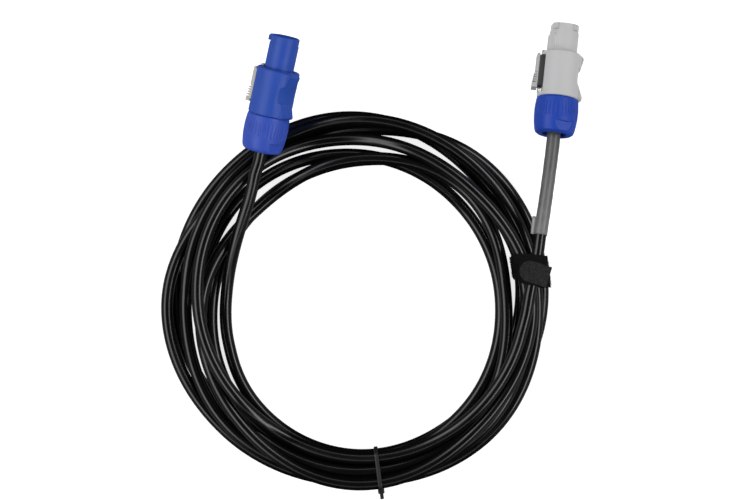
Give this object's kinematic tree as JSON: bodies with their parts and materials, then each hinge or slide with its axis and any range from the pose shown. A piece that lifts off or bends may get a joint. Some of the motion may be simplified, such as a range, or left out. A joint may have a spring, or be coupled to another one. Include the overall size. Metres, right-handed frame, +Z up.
{
  "type": "mains link lead",
  "caption": "Coiled black mains cable with a locking barrel connector on each end, a heat-shrink sleeve, a hook-and-loop strap and a cable tie.",
  "frame": {"origin": "on the table plane, under the middle of the box round the two connectors", "axes": "+X to the right along the table from the blue connector to the grey one, +Y along the table away from the coil towards the connectors' tips, +Z up from the table"},
  "size_m": [0.275, 0.312, 0.0604],
  "materials": {
    "blue_plastic": "fine satin moulding",
    "grey_plastic": "fine satin moulding",
    "black_plastic": "satin",
    "contact_brass": "bright",
    "screw_steel": "plated",
    "spring_steel": "drawn wire",
    "latch_dark": "satin",
    "thumb_ivory": "satin",
    "thumb_grey": "satin",
    "chuck_white": "satin",
    "core_brown": "satin",
    "core_blue": "satin",
    "core_green_yellow": "satin",
    "cord_black": "smooth, glossy jacket",
    "shrink_grey": "smoky, slightly see-through",
    "strap_black": "looped pile",
    "tie_black": "satin nylon"
  },
  "bodies": {
    "lead": {"inlet_housing": "blue_plastic", "inlet_carrier": "black_plastic", "inlet_contact_line": "contact_brass", "inlet_contact_neutral": "contact_brass", "inlet_contact_earth": "contact_brass", "inlet_screws": "screw_steel", "inlet_core_line": "core_brown", "inlet_core_neutral": "core_blue", "inlet_core_earth": "core_green_yellow", "inlet_latch_spring": "spring_steel", "outlet_housing": "grey_plastic", "outlet_carrier": "black_plastic", "outlet_contact_line": "contact_brass", "outlet_contact_neutral": "contact_brass", "outlet_contact_earth": "contact_brass", "outlet_screws": "screw_steel", "outlet_core_line": "core_brown", "outlet_core_neutral": "core_blue", "outlet_core_earth": "core_green_yellow", "outlet_latch_spring": "spring_steel", "cord_coil": "cord_black", "cord_inlet_end": "cord_black", "cord_outlet_end": "cord_black", "heat_shrink": "shrink_grey", "hook_loop_strap": "strap_black", "cable_tie": "tie_black"},
    "inlet_latch": {"inlet_latch_bar": "thumb_ivory", "inlet_thumb_plate": "thumb_ivory"},
    "inlet_clamp": {"inlet_chuck": "chuck_white"},
    "inlet_nut": {"inlet_ring_nut": "blue_plastic"},
    "outlet_latch": {"outlet_latch_bar": "latch_dark", "outlet_thumb_plate": "thumb_grey"},
    "outlet_clamp": {"outlet_chuck": "chuck_white"},
    "outlet_nut": {"outlet_ring_nut": "blue_plastic"}
  },
  "joints": [
    {"name": "inlet_latch_slide", "type": "slide", "parent": "lead", "child": "inlet_latch", "axis": [-0.2182, -0.9603, -0.1736], "range_m": [0, 0.004], "stiffness_N_per_m": 500, "springref_m": -0.004, "deforming": ["inlet_latch_spring"]},
    {"name": "inlet_clamp_slide", "type": "slide", "parent": "lead", "child": "inlet_clamp", "axis": [-0.2182, -0.9603, -0.1736], "range_m": [0, 0.003]},
    {"name": "inlet_nut_turn", "type": "hinge", "parent": "inlet_clamp", "child": "inlet_nut", "pos_m": [-0.09626, -0.03003, 0.03911], "axis": [-0.2182, -0.9603, -0.1736], "range_deg": [0, 540]},
    {"name": "outlet_latch_slide", "type": "slide", "parent": "lead", "child": "outlet_latch", "axis": [-0.1132, -0.9783, 0.1736], "range_m": [0, 0.004], "stiffness_N_per_m": 500, "springref_m": -0.004, "deforming": ["outlet_latch_spring"]},
    {"name": "outlet_clamp_slide", "type": "slide", "parent": "lead", "child": "outlet_clamp", "axis": [-0.1132, -0.9783, 0.1736], "range_m": [0, 0.003]},
    {"name": "outlet_nut_turn", "type": "hinge", "parent": "outlet_clamp", "child": "outlet_nut", "pos_m": [0.09215, -0.01889, 0.02078], "axis": [-0.1132, -0.9783, 0.1736], "range_deg": [0, 540]}
  ],
  "couplings": [
    {"joint": "inlet_nut_turn", "follows": "inlet_clamp_slide", "rad_per_m": 3141.6},
    {"joint": "outlet_nut_turn", "follows": "outlet_clamp_slide", "rad_per_m": 3141.6}
  ]
}
